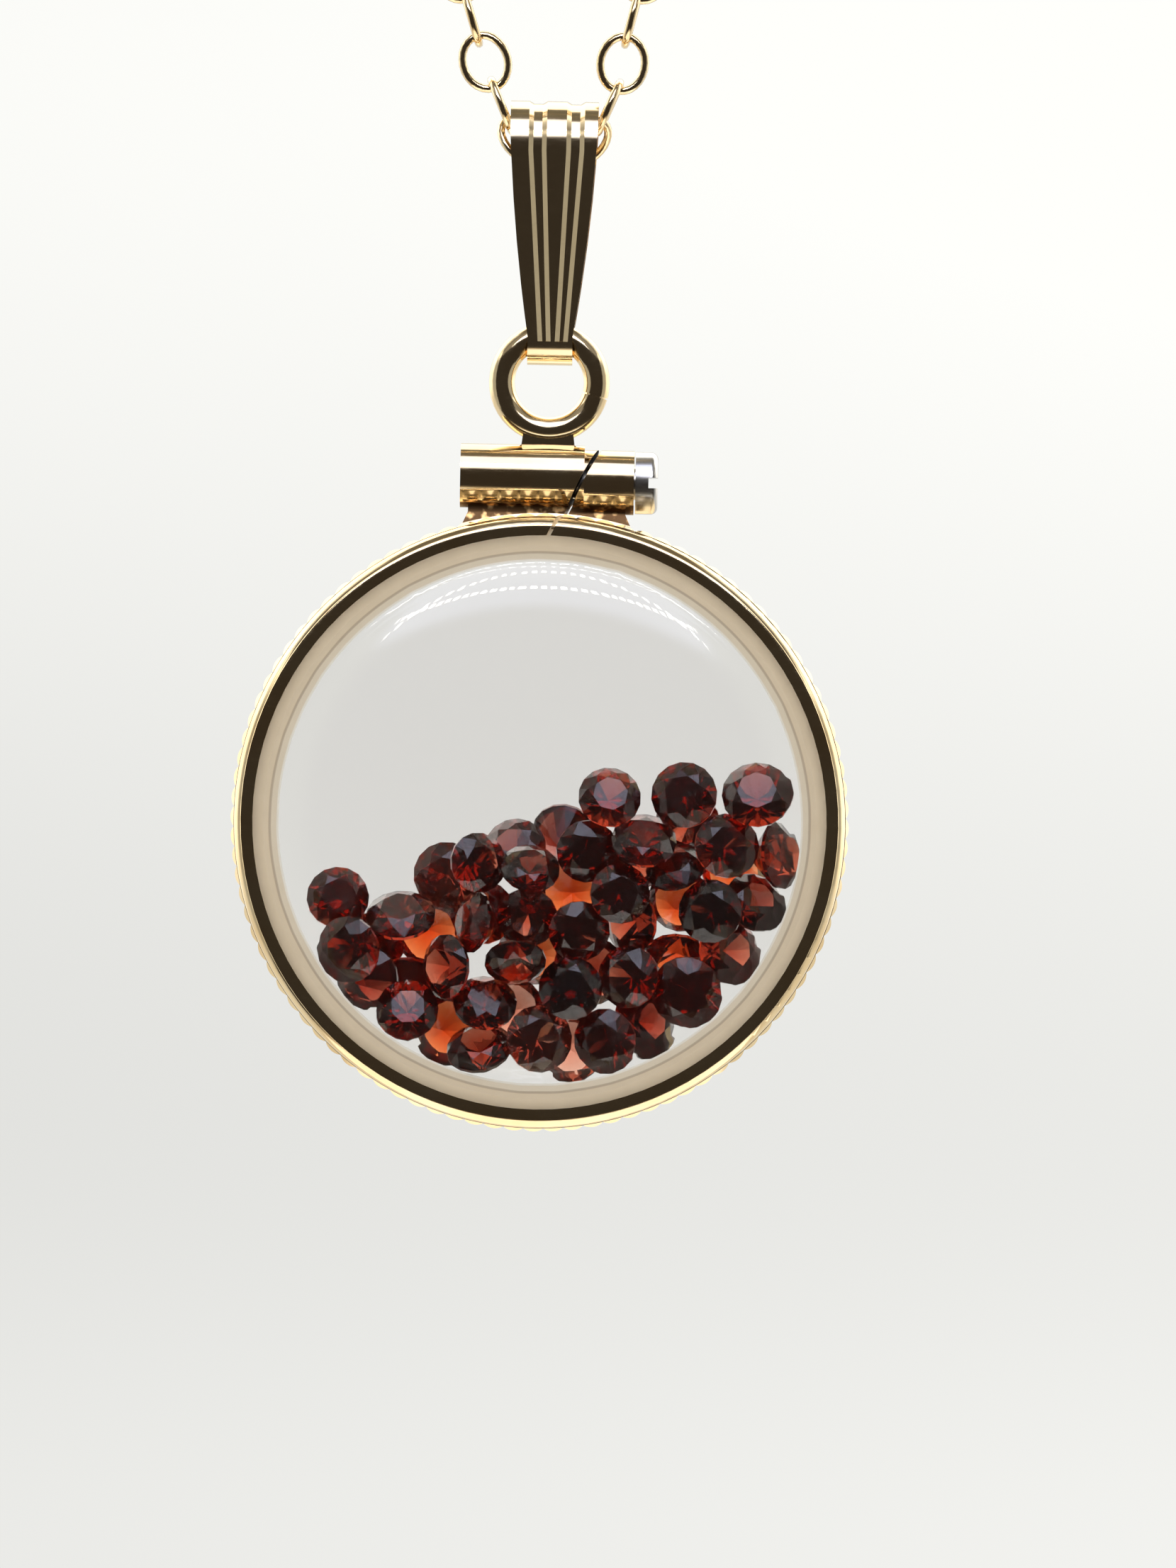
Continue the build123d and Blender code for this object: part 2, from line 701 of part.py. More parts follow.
def neck_tube(points):
    """A plain tube along straight runs joined by tangent arcs."""
    radii = []
    for before, here, after in zip(points, points[1:], points[2:]):
        run_in = Vector(here[0] - before[0], here[1] - before[1])
        run_out = Vector(after[0] - here[0], after[1] - here[1])
        turn = radians(run_in.get_angle(run_out))
        radii.append(corner_reach * min(run_in.length, run_out.length) / tan(turn / 2))
    corners = [(x, 0, z) for x, z in points]
    path = FilletPolyline(*corners, radius=radii)
    start = Plane(origin=path @ 0, z_dir=path % 0)
    tube = sweep(start * Circle(link_width / 2), path=path)
    straight = pi * (link_width / 2) ** 2 * path.length
    print("neck arcs", [round(r, 1) for r in radii], "run", round(path.length, 1))
    print("tube's volume as a share of section times length", round(tube.volume / straight, 4))
    return tube, path.length


def neck_clasp():
    """The plain closure at the nape, a short rod with rounded ends."""
    rod = cylinder_x(clasp_diameter, -clasp_length / 2, clasp_length / 2, neck_top)
    return fillet(rod.edges().filter_by(GeomType.CIRCLE), clasp_rounding)


# Heights over the upper eye of the bail
neck_corners = shared_neck_corners()
neck_top = neck_corners[-1][1]
nape = neck_top - clasp_diameter / 2
locket_place = Pos(0, 0, -nape - chain_axis_height)
bail_place = Pos(0, 0, -nape)

os.makedirs("parts", exist_ok=True)


def write(name, shape, place):
    export_step(place * shape, f"parts/{name}.step")


left_tube, left_run = neck_tube(neck_points(-1, left_headings))
right_tube, right_run = neck_tube(neck_points(1, right_headings))
links = chain_front()
print("chain length:", left_run + right_run + len(links) * link_pitch + clasp_length)

write("chain_front", Compound(children=links), bail_place)
write("chain_back", Compound(children=[left_tube, right_tube]), bail_place)
write("chain_clasp", neck_clasp(), bail_place)
write("pinch_bail", pinch_bail(), bail_place)
write("bezel", bezel(), locket_place)
write("clasp_screw", clasp_screw(), locket_place)
write("crystal_front", crystal(-1), locket_place)
write("crystal_back", crystal(1), locket_place)
write("spacer_ring", spacer_ring(), locket_place)
for number, stone in enumerate(garnets(), 1):
    write(f"garnet_{number:02d}", stone, locket_place)

print("bail turns about z =", round(-nape, 4))
print("locket turns about z =", round(-nape - bail_eye_spacing, 4))
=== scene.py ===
import json
from math import asin, cos, pi, radians, sin, tan

import bpy
from mathutils import Matrix, Vector


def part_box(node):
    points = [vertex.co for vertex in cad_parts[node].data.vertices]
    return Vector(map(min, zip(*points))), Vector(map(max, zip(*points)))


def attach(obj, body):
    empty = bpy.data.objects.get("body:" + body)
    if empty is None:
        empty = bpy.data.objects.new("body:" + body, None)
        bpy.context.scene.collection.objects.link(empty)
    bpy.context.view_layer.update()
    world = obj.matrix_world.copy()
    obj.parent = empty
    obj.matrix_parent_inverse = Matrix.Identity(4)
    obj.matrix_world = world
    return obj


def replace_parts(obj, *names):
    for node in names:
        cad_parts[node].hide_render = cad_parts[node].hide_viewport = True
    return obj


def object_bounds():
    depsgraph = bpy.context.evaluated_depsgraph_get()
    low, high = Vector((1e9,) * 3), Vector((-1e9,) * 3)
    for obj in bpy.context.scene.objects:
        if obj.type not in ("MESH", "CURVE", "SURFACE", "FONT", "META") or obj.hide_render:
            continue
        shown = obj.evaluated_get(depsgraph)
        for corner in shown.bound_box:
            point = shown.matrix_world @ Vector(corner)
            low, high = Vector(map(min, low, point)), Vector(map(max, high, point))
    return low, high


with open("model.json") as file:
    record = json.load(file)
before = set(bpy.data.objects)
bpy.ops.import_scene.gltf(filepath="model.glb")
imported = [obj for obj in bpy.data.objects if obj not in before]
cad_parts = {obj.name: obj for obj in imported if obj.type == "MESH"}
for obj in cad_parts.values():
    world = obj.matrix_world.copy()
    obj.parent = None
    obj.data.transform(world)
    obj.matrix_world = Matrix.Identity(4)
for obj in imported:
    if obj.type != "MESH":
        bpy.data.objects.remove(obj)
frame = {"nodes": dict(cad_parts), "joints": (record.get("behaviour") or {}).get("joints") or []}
cad_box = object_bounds()
nodes = frame["nodes"]
MM = 0.001

# The photograph: its size, where the bezel's centre lies in it, and its scale
PHOTO_WIDTH = 1659
PHOTO_HEIGHT = 2212
BEZEL_AT_PX = (762, 1160)
PX_PER_MM = 43.5

# Camera, with its angles in degrees
CAMERA_DISTANCE = 600 * MM
CAMERA_YAW = 0.5
CAMERA_PITCH = 0.0
CAMERA_ROLL = 1.2
SENSOR = 36.0

# Chain, the same sizes and route as in the source, with headings in degrees from straight up
CHAIN_LENGTH = 457 * MM
WIRE = 0.27 * MM
LINK_LENGTH = 2.05 * MM
LINK_WIDTH = 1.72 * MM
CLASP_LENGTH = 6.0 * MM
LINK_END_GAP = 0.3 * MM
CHAIN_DROP = 0.22 * MM
CAD_PITCH = 1.35 * MM
CAD_FRONT_LINKS = 30
LEFT_HEADINGS = (33.0, 22.0, 19.0, 16.0)
RIGHT_HEADINGS = (30.5, 16.0, 11.0, 14.0)
FRONT_HALF_WIDTH = 13.6 * MM
# Each run up to the neck as its share of the chain's length and its heading
NECK_RUNS = (
    (0.082, 17.5),
    (0.112, 15.5),
    (0.060, 10.0),
    (0.034, -5.0),
    (0.029, -23.0),
    (0.029, -41.0),
    (0.029, -59.0),
)
CLOSING_HEADING = -77.0
# The links inside and beside the bail, from the middle of its upper eye: centre, lift from
# level, roll and yaw. The left side is the right one turned half round.
MIDDLE_LINK = ((0.109 * MM, 0.028 * MM, 0.247 * MM), -4.3, -80.9, 155.7)
BESIDE_LINKS = (
    ((0.967 * MM, 0.051 * MM, 0.216 * MM), 44.3, 46.8, -12.2),
    ((1.741 * MM, 0.0, 1.330 * MM), 67.0, 90.0, 0.0),
)
ROUTE_FINENESS = 24

# The scene's links, which interlock. HALF_LINK and HALF_LINK_WIDTH go from a link's centre to
# the middle of its wire, and BACK_REACH is how far below its start a link's direction begins.
PITCH = LINK_LENGTH - 2 * WIRE
HALF_LINK = LINK_LENGTH / 2 - WIRE / 2
HALF_LINK_WIDTH = LINK_WIDTH / 2 - WIRE / 2
BACK_REACH = 1.2 * WIRE
LINK_STEPS = 26
WIRE_STEPS = 8
ACROSS = Vector((0, 1, 0))
HALF_TURN = Matrix.Rotation(pi, 4, "Z")

BEZEL_RADIUS = 10 * MM
bezel_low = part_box("bezel")[0]
bezel_centre = Vector((0, 0, bezel_low.z + BEZEL_RADIUS))
eye_centre = next(Vector(j["pos_m"]) for j in frame["joints"] if j["name"] == "bail_swing")

# Shading of the CAD pieces
CRISP_ANGLE = 28.0
SEAM_REACH = 0.0001 * MM

# Metals
GOLD = (0.93, 0.75, 0.47)
GOLD_DEEP = (0.89, 0.67, 0.38)
BAIL_DEEP = (0.88, 0.70, 0.43)
STEEL = (0.66, 0.64, 0.61)
STEEL_DEEP = (0.56, 0.55, 0.52)
TONE_SCALE = 420.0
TONE_RANGE = (0.35, 0.7)
SCRATCH_SCALE = 7200.0
SCRATCH_STRETCH = (0.25, 1.0, 1.0)
SCRATCH_TURN = (0.2, 0.4, 0.6)
SCRATCH_RANGE = (0.4, 0.75)
SCRATCH_ROUGHNESS = 0.06
SCRATCH_BUMP = 0.12
SCRATCH_DEPTH = 0.004 * MM

# A fine grain that the painted glints under the barrel and the plastic share
GRAIN_SCALE = 2600.0

# The saw cut through the barrel, with painted shade on its walls: a point on it, from the bezel's
# centre, its direction, how far from its middle the painted shade ends, and the heights over
# which it starts
CUT_POINT = (1.2 * MM, 0.0, 11.06 * MM)
CUT_NORMAL = (0.894, -0.094, -0.438)
CUT_SHADE_WIDTH = (0.064 * MM, 0.072 * MM)
CUT_SHADE_START = (10.06 * MM, 10.26 * MM)
CUT_SHADE_COLOUR = (0.030, 0.022, 0.014)
CUT_ROUGHNESS = 0.5

# Painted shade under the barrel, flecked with painted glints: the radii that it starts over, the
# heights that it ends over, its half length and half depth with their soft edge, and the upper
# half that it keeps to
UNDER_BARREL_SHADE_RADII = (10.01 * MM, 10.03 * MM)
UNDER_BARREL_SHADE_TOP = (10.36 * MM, 10.30 * MM)
UNDER_BARREL_SHADE_HALF_LENGTH = 3.2 * MM
UNDER_BARREL_SHADE_HALF_DEPTH = 0.80 * MM
UNDER_BARREL_SHADE_EDGE = 0.05 * MM
UPPER_HALF = (0.0, 1.0 * MM)
UNDER_BARREL_SHADE = (0.10, 0.055, 0.025)
UNDER_BARREL_GLINTS = (0.80, 0.50, 0.22)
UNDER_BARREL_GLINT_RANGE = (0.5, 0.68)
UNDER_BARREL_ROUGHNESS = 0.25

# The lips' rounded outer halves: the radii between which they turn down, and how steeply
LIP_FLAT = 9.52 * MM
LIP_EDGE = 9.67 * MM
LIP_DROP = -1.56 / MM

# Crystals, slightly grey, painted clearer in the rounded rim for the glow that it reflects
CRYSTAL_MIDDLE = (0.948, 0.941, 0.935)
CRYSTAL_RIM_GLOW = (0.965, 0.960, 0.950)
RIM_GLOW_RADII = (7.2 * MM, 8.2 * MM)
CRYSTAL_SHEEN = (0.7, 0.7, 0.7, 1)
SMEAR_SCALE = 300.0
SMEAR_BUMP = 0.01
SMEAR_DEPTH = 0.002 * MM

# Garnets: the tint of the surface, the colour that is let through and how dense it is, and the
# numbers of the stones that aren't of the common kind
GARNETS = {
    "garnet_deep": ((0.56, 0.50, 0.48), (0.88, 0.55, 0.45), 5600.0),
    "garnet_wine": ((0.60, 0.53, 0.50), (0.92, 0.62, 0.50), 5000.0),
    "garnet_orange": ((0.76, 0.64, 0.54), (0.93, 0.62, 0.38), 5000.0),
    "garnet_rose": ((0.68, 0.60, 0.56), (0.955, 0.80, 0.74), 4500.0),
}
COMMON_GARNET = "garnet_wine"
OTHER_STONES = {
    "garnet_deep": (3, 7, 16, 19, 28, 34, 35, 40, 45),
    "garnet_orange": (5, 6, 10, 26, 30, 33, 37, 38, 46, 48),
    "garnet_rose": (13, 42, 43, 49),
}
SILK_SCALE = 900.0
SILK_RANGE = (0.3, 0.8)
SILK_SHADE = 0.82

# Champagne spacer: its grain in two tones of painted light, a shaded pinker outer face and a lit
# inner one, a thin line of painted shade at the step between them, and a painted highlight along
# the inner edge. Radii are from the locket's axis.
SPACER_OUTER_SHADED = ((0.84, 0.72, 0.55), (0.90, 0.78, 0.61))
SPACER_INNER_LIT = ((0.87, 0.78, 0.63), (0.92, 0.83, 0.69))
SPACER_LIGHT_CHANGE = (8.70 * MM, 8.74 * MM)
STEP_SHADE_LINE = 8.72 * MM
STEP_SHADE_HALF = (0.02 * MM, 0.06 * MM)
STEP_SHADE_COLOUR = (0.42, 0.32, 0.22)
STEP_SHADE_SHARE = 0.55
SPACER_HIGHLIGHT_RADII = (8.45 * MM, 8.49 * MM)
SPACER_HIGHLIGHT_COLOUR = (1.0, 0.97, 0.9)
SPACER_BUMP = 0.08
SPACER_DEPTH = 0.01 * MM

# Floor, out of the picture
FLOOR_RADIUS = 250 * MM
FLOOR_BELOW = 250 * MM
FLOOR_STEPS = 64
FLOOR_COLOUR = (0.86, 0.85, 0.83)
FLOOR_GRAIN = 60.0
FLOOR_SHADE = 0.97


# Node helpers

class Nodes:
    """A small builder for a material's or world's nodes."""

    def __init__(self, tree):
        self.tree = tree
        tree.nodes.clear()

    def add(self, kind, inputs=None):
        """Adds a node with its inputs set, each by its name or number."""
        node = self.tree.nodes.new(kind)
        self.put(node, inputs or {})
        return node

    def put(self, node, inputs):
        """Sets inputs to plain values or joins them to other nodes' outputs."""
        for name, value in inputs.items():
            if isinstance(value, bpy.types.NodeSocket):
                self.tree.links.new(value, node.inputs[name])
            else:
                node.inputs[name].default_value = value

    def math(self, operation, a, b=0.0, c=0.0):
        node = self.tree.nodes.new("ShaderNodeMath")
        node.operation = operation
        self.put(node, {0: a, 1: b, 2: c})
        return node.outputs[0]

    def product(self, first, *others):
        for other in others:
            first = self.math("MULTIPLY", first, other)
        return first

    def ramp(self, value, low, high, to_low=0.0, to_high=1.0, smooth=True):
        """Leads a value from one range to another and holds it there beyond the ends."""
        node = self.tree.nodes.new("ShaderNodeMapRange")
        node.interpolation_type = "SMOOTHSTEP" if smooth else "LINEAR"
        self.put(node, {"Value": value, "From Min": low, "From Max": high,
                        "To Min": to_low, "To Max": to_high})
        return node.outputs[0]

    def near(self, value, low, high, most=1.0):
        """Most where a value is less than low away from 0, and nothing beyond high."""
        return self.ramp(self.math("ABSOLUTE", value), low, high, most, 0.0)

    def mix(self, factor, a, b, blend="MIX"):
        node = self.tree.nodes.new("ShaderNodeMix")
        node.data_type = "RGBA"
        node.blend_type = blend
        a, b = ((*v, 1) if isinstance(v, tuple) else v for v in (a, b))
        self.put(node, {0: factor, 6: a, 7: b})
        return node.outputs[2]

    def split(self, vector):
        return self.add("ShaderNodeSeparateXYZ", {0: vector}).outputs

    def dot(self, vector, way):
        node = self.tree.nodes.new("ShaderNodeVectorMath")
        node.operation = "DOT_PRODUCT"
        self.put(node, {0: vector, 1: Vector(way).normalized()})
        return node.outputs["Value"]

    def minus(self, vector, away):
        node = self.tree.nodes.new("ShaderNodeVectorMath")
        node.operation = "SUBTRACT"
        self.put(node, {0: vector, 1: away})
        return node.outputs[0]

    def noise(self, coordinates, scale, detail=2.0, roughness=0.5):
        node = self.add("ShaderNodeTexNoise", {
            "Vector": coordinates, "Scale": scale, "Detail": detail, "Roughness": roughness})
        return node.outputs["Fac"]

    def bump(self, height, strength, distance):
        node = self.add("ShaderNodeBump", {
            "Height": height, "Strength": strength, "Distance": distance})
        return node.outputs["Normal"]


def new_material(name):
    """A material, the builder of its nodes, and the place on the piece that is shaded."""
    material = bpy.data.materials.new(name)
    material.use_nodes = True
    n = Nodes(material.node_tree)
    return material, n, n.add("ShaderNodeTexCoord").outputs["Object"]


def finish_material(n, surface, volume=None):
    """Adds the main shader with its inputs, and the shader of the volume if there is one."""
    shader = n.add("ShaderNodeBsdfPrincipled", surface)
    output = n.add("ShaderNodeOutputMaterial", {"Surface": shader.outputs[0]})
    if volume is not None:
        n.put(output, {"Volume": volume.outputs[0]})


def from_axis(n, where):
    """How far a point lies from the locket's own axis, in metres."""
    x, _, z = n.split(n.minus(where, bezel_centre))
    return n.math("SQRT", n.math("ADD", n.product(x, x), n.product(z, z)))


# Materials

def metal(name, colour, deep, roughness, bezel=False):
    """Polished plated metal with a faint tone change, fine scratches and soft handling marks."""
    material, n, where = new_material(name)
    stretch = n.add("ShaderNodeMapping", {
        "Vector": where, "Scale": SCRATCH_STRETCH, "Rotation": SCRATCH_TURN})
    cloud = n.noise(where, TONE_SCALE, 3.0)
    fine = n.noise(stretch.outputs[0], SCRATCH_SCALE, 4.0, 0.7)
    tone = n.mix(n.ramp(cloud, *TONE_RANGE), colour, deep)
    rough = n.ramp(fine, *SCRATCH_RANGE, roughness, roughness + SCRATCH_ROUGHNESS)
    normal = n.bump(fine, SCRATCH_BUMP, SCRATCH_DEPTH)
    if bezel:
        tone, rough, normal = bezel_marks(n, where, tone, rough, normal)
    finish_material(n, {
        "Metallic": 1.0, "Base Color": tone, "Roughness": rough, "Normal": normal})
    return material


def bezel_marks(n, where, tone, rough, normal):
    """What only the bezel has: painted shade on the walls of its saw cut, painted shade flecked
    with painted glints under its barrel, and lips with rounded outer halves."""
    x, y, z = n.split(n.minus(where, bezel_centre))
    # Painted near-black shade on the walls of the saw cut
    from_cut = n.dot(n.minus(where, bezel_centre + Vector(CUT_POINT)), CUT_NORMAL)
    cut_shade = n.product(n.near(from_cut, *CUT_SHADE_WIDTH), n.ramp(z, *CUT_SHADE_START))
    tone = n.mix(cut_shade, tone, CUT_SHADE_COLOUR)
    rough = n.math("ADD", rough, n.product(cut_shade, CUT_ROUGHNESS))

    radius = from_axis(n, where)
    # Painted shade under the barrel, flecked with painted glints
    under_barrel_shade = n.product(
        n.ramp(radius, *UNDER_BARREL_SHADE_RADII),
        n.ramp(z, *UNDER_BARREL_SHADE_TOP),
        n.near(x, UNDER_BARREL_SHADE_HALF_LENGTH, UNDER_BARREL_SHADE_HALF_LENGTH + UNDER_BARREL_SHADE_EDGE),
        n.near(y, UNDER_BARREL_SHADE_HALF_DEPTH, UNDER_BARREL_SHADE_HALF_DEPTH + UNDER_BARREL_SHADE_EDGE),
        n.ramp(z, *UPPER_HALF))
    grain = n.ramp(n.noise(where, GRAIN_SCALE), *UNDER_BARREL_GLINT_RANGE)
    tone = n.mix(under_barrel_shade, tone, n.mix(grain, UNDER_BARREL_SHADE, UNDER_BARREL_GLINTS))
    rough = n.math("ADD", rough, n.product(under_barrel_shade, UNDER_BARREL_ROUGHNESS))

    on_lip = n.math("MINIMUM", n.math("MAXIMUM", radius, LIP_FLAT), LIP_EDGE)
    turned = n.math("SUBTRACT", on_lip, LIP_FLAT)
    rounded = n.add("ShaderNodeBump", {
        "Height": n.product(turned, turned, LIP_DROP), "Normal": normal,
        "Strength": 1.0, "Distance": 1.0})
    return tone, rough, rounded.outputs["Normal"]


def clear_crystal():
    """Mineral glass, slightly grey, with a painted glow in its rim and faint marks in the polish.
    """
    material, n, where = new_material("mineral_glass")
    smear = n.noise(where, SMEAR_SCALE)
    # Painted reflected glow: the rim is made clearer than the middle
    rim_glow = n.ramp(from_axis(n, where), *RIM_GLOW_RADII)
    finish_material(n, {
        "IOR": 1.5, "Roughness": 0.0, "Transmission Weight": 1.0, "Specular Tint": CRYSTAL_SHEEN,
        "Base Color": n.mix(rim_glow, CRYSTAL_MIDDLE, CRYSTAL_RIM_GLOW),
        "Normal": n.bump(smear, SMEAR_BUMP, SMEAR_DEPTH)})
    return material


def garnet(name, tint, absorb, density):
    """Deep red garnet: clear, highly refracting, and darker the further light runs in it."""
    material, n, where = new_material(name)
    silk = n.noise(where, SILK_SCALE, 3.0)
    shaded = tuple(c * SILK_SHADE for c in tint)
    volume = n.add("ShaderNodeVolumeAbsorption", {"Color": (*absorb, 1), "Density": density})
    finish_material(n, {
        "IOR": 1.76, "Roughness": 0.07, "Transmission Weight": 1.0,
        "Coat Weight": 0.35, "Coat Roughness": 0.45,
        "Base Color": n.mix(n.ramp(silk, *SILK_RANGE), tint, shaded)}, volume)
    return material


def champagne():
    """Glossy pale champagne plastic with a faint grain, painted pinker and shaded outside and lit
    inside, with a painted line of shade at the step and a painted highlight on the inner edge.
    """
    material, n, where = new_material("champagne_plastic")
    radius = from_axis(n, where)
    grain = n.noise(where, GRAIN_SCALE, 3.0)
    # Painted light and shade: a shaded, pinker tone outside the step and a lit tone inside it
    outer_shaded = n.mix(grain, *SPACER_OUTER_SHADED)
    inner_lit = n.mix(grain, *SPACER_INNER_LIT)
    tone = n.mix(n.ramp(radius, *SPACER_LIGHT_CHANGE), inner_lit, outer_shaded)
    # Painted shade in a thin line along the step between the two faces
    step_shade = n.near(n.math("SUBTRACT", radius, STEP_SHADE_LINE), *STEP_SHADE_HALF, STEP_SHADE_SHARE)
    tone = n.mix(step_shade, tone, STEP_SHADE_COLOUR)
    # Painted highlight along the spacer's inner edge
    tone = n.mix(n.ramp(radius, *SPACER_HIGHLIGHT_RADII, 1.0, 0.0), tone, SPACER_HIGHLIGHT_COLOUR)
    finish_material(n, {
        "Roughness": 0.28, "IOR": 1.49, "Base Color": tone,
        "Normal": n.bump(grain, SPACER_BUMP, SPACER_DEPTH)})
    return material


def plain_matte(name, colour):
    material, n, where = new_material(name)
    grain = n.noise(where, FLOOR_GRAIN, 3.0)
    shaded = tuple(c * FLOOR_SHADE for c in colour)
    finish_material(n, {"Roughness": 0.8, "Base Color": n.mix(grain, colour, shaded)})
    return material


def dress(node_name, material):
    mesh = nodes[node_name].data
    mesh.materials.clear()
    mesh.materials.append(material)


chain_gold = metal("chain_gold", GOLD, GOLD_DEEP, 0.10)
glass = clear_crystal()
smooth_pieces = {
    "bezel": metal("bezel_gold", GOLD, GOLD_DEEP, 0.10, bezel=True),
    "pinch_bail": metal("bail_gold", GOLD, BAIL_DEEP, 0.12),
    "clasp_screw": metal("screw_steel", STEEL, STEEL_DEEP, 0.22),
    "crystal_front": glass,
    "crystal_back": glass,
    "spacer_ring": champagne(),
    "chain_clasp": chain_gold,
}
for name, material in smooth_pieces.items():
    dress(name, material)
    for polygon in nodes[name].data.polygons:
        polygon.use_smooth = True
    seams = nodes[name].modifiers.new("joined_seams", "WELD")
    seams.merge_threshold = SEAM_REACH
    crisp = nodes[name].modifiers.new("crisp_edges", "EDGE_SPLIT")
    crisp.split_angle = radians(CRISP_ANGLE)
    even = nodes[name].modifiers.new("even_shading", "WEIGHTED_NORMAL")
    even.keep_sharp = True

garnets = {name: garnet(name, *look) for name, look in GARNETS.items()}
stone_kinds = {number: kind for kind, numbers in OTHER_STONES.items() for number in numbers}
for name in sorted(nodes):
    if name.startswith("garnet_"):
        number = int(name.split("_")[1])
        dress(name, garnets[stone_kinds.get(number, COMMON_GARNET)])


# Chain

def front_route(way, headings):
    """The route from the middle link's end up one side, through the tips of the source's links."""
    x = (LINK_LENGTH - WIRE) / 2
    z = -CHAIN_DROP
    corners = [(way * x, z)]
    for heading in headings:
        x += CAD_PITCH * sin(radians(heading))
        z += CAD_PITCH * cos(radians(heading))
        corners.append((way * x, z))
    left = CAD_FRONT_LINKS - len(headings)
    lean = asin((FRONT_HALF_WIDTH - x) / (left * CAD_PITCH))
    corners.append((way * FRONT_HALF_WIDTH, z + left * CAD_PITCH * cos(lean)))
    return corners


def neck_route(way):
    """The route from the front part's end round one side of the neck to the clasp."""
    x = FRONT_HALF_WIDTH
    z = front_route(1, RIGHT_HEADINGS)[-1][1]
    corners = []
    for share, heading in NECK_RUNS:
        x += CHAIN_LENGTH * share * sin(radians(heading))
        z += CHAIN_LENGTH * share * cos(radians(heading))
        corners.append((way * x, z))
    end = CLASP_LENGTH / 2 + LINK_END_GAP
    z += (x - end) / tan(radians(-CLOSING_HEADING))
    corners.append((way * end, z))
    return corners


def smooth_line(corners):
    """Points along a smooth NURBS line that has the corners as its control points."""
    curve = bpy.data.curves.new("route", "CURVE")
    curve.dimensions = "3D"
    curve.resolution_u = ROUTE_FINENESS
    spline = curve.splines.new("NURBS")
    spline.points.add(len(corners) - 1)
    for point, (x, z) in zip(spline.points, corners):
        point.co = (x + eye_centre.x, eye_centre.y, z + eye_centre.z, 1)
    spline.order_u = 3
    spline.use_endpoint_u = True
    holder = bpy.data.objects.new("route", curve)
    bpy.context.scene.collection.objects.link(holder)
    mesh = bpy.data.meshes.new_from_object(holder)
    points = [v.co.copy() for v in mesh.vertices]
    bpy.data.objects.remove(holder)
    bpy.data.meshes.remove(mesh)
    return points


class Walk:
    """Finds the point that is a given length along a line of points."""

    def __init__(self, points):
        self.points = points
        self.marks = [0.0]
        for a, b in zip(points, points[1:]):
            self.marks.append(self.marks[-1] + (b - a).length)
        self.length = self.marks[-1]

    def at(self, distance):
        distance = min(max(distance, 0.0), self.length)
        k = 1
        while k < len(self.marks) - 1 and self.marks[k] < distance:
            k += 1
        share = (distance - self.marks[k - 1]) / (self.marks[k] - self.marks[k - 1])
        return self.points[k - 1].lerp(self.points[k], share)


def link_mesh_data(place, vertices, faces):
    """Adds one link of round wire, long along X and flat in XZ, moved by place."""
    first = len(vertices)
    for k in range(LINK_STEPS):
        turn = 2 * pi * k / LINK_STEPS
        centre = Vector((HALF_LINK * cos(turn), 0, HALF_LINK_WIDTH * sin(turn)))
        out = Vector((HALF_LINK_WIDTH * cos(turn), 0, HALF_LINK * sin(turn))).normalized()
        for j in range(WIRE_STEPS):
            angle = 2 * pi * j / WIRE_STEPS
            ring = out * cos(angle) + ACROSS * sin(angle)
            vertices.append(place @ (centre + ring * WIRE / 2))
    for k in range(LINK_STEPS):
        here = first + k * WIRE_STEPS
        there = first + (k + 1) % LINK_STEPS * WIRE_STEPS
        for j in range(WIRE_STEPS):
            more = (j + 1) % WIRE_STEPS
            faces.append((here + j, there + j, there + more, here + more))


def link_place(low, high, roll):
    """Where a link goes that reaches from one point to another, turned about its length."""
    along = (high - low).normalized()
    beside = along.cross(ACROSS).normalized()
    turned = ACROSS * cos(roll) + beside * sin(roll)
    up = along.cross(turned).normalized()
    spin = Matrix((along, turned, up)).transposed().to_4x4()
    return Matrix.Translation((low + high) / 2) @ spin


def placed_link(centre, lift, roll, yaw):
    """Where a link by the bail goes, from the middle of the bail's upper eye."""
    spin = Matrix.Rotation(radians(yaw), 4, "Z") @ Matrix.Rotation(-radians(lift), 4, "Y")
    return Matrix.Translation(centre) @ spin @ Matrix.Rotation(radians(roll), 4, "X")


def mesh_piece(name, vertices, faces, material):
    mesh = bpy.data.meshes.new(name)
    mesh.from_pydata(vertices, [], faces)
    mesh.materials.append(material)
    piece = bpy.data.objects.new(name, mesh)
    bpy.context.scene.collection.objects.link(piece)
    return piece


def chain_piece(name, places):
    vertices, faces = [], []
    for place in places:
        link_mesh_data(place, vertices, faces)
    piece = mesh_piece(name, [tuple(v) for v in vertices], faces, chain_gold)
    for polygon in piece.data.polygons:
        polygon.use_smooth = True
    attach(piece, "chain")
    return piece


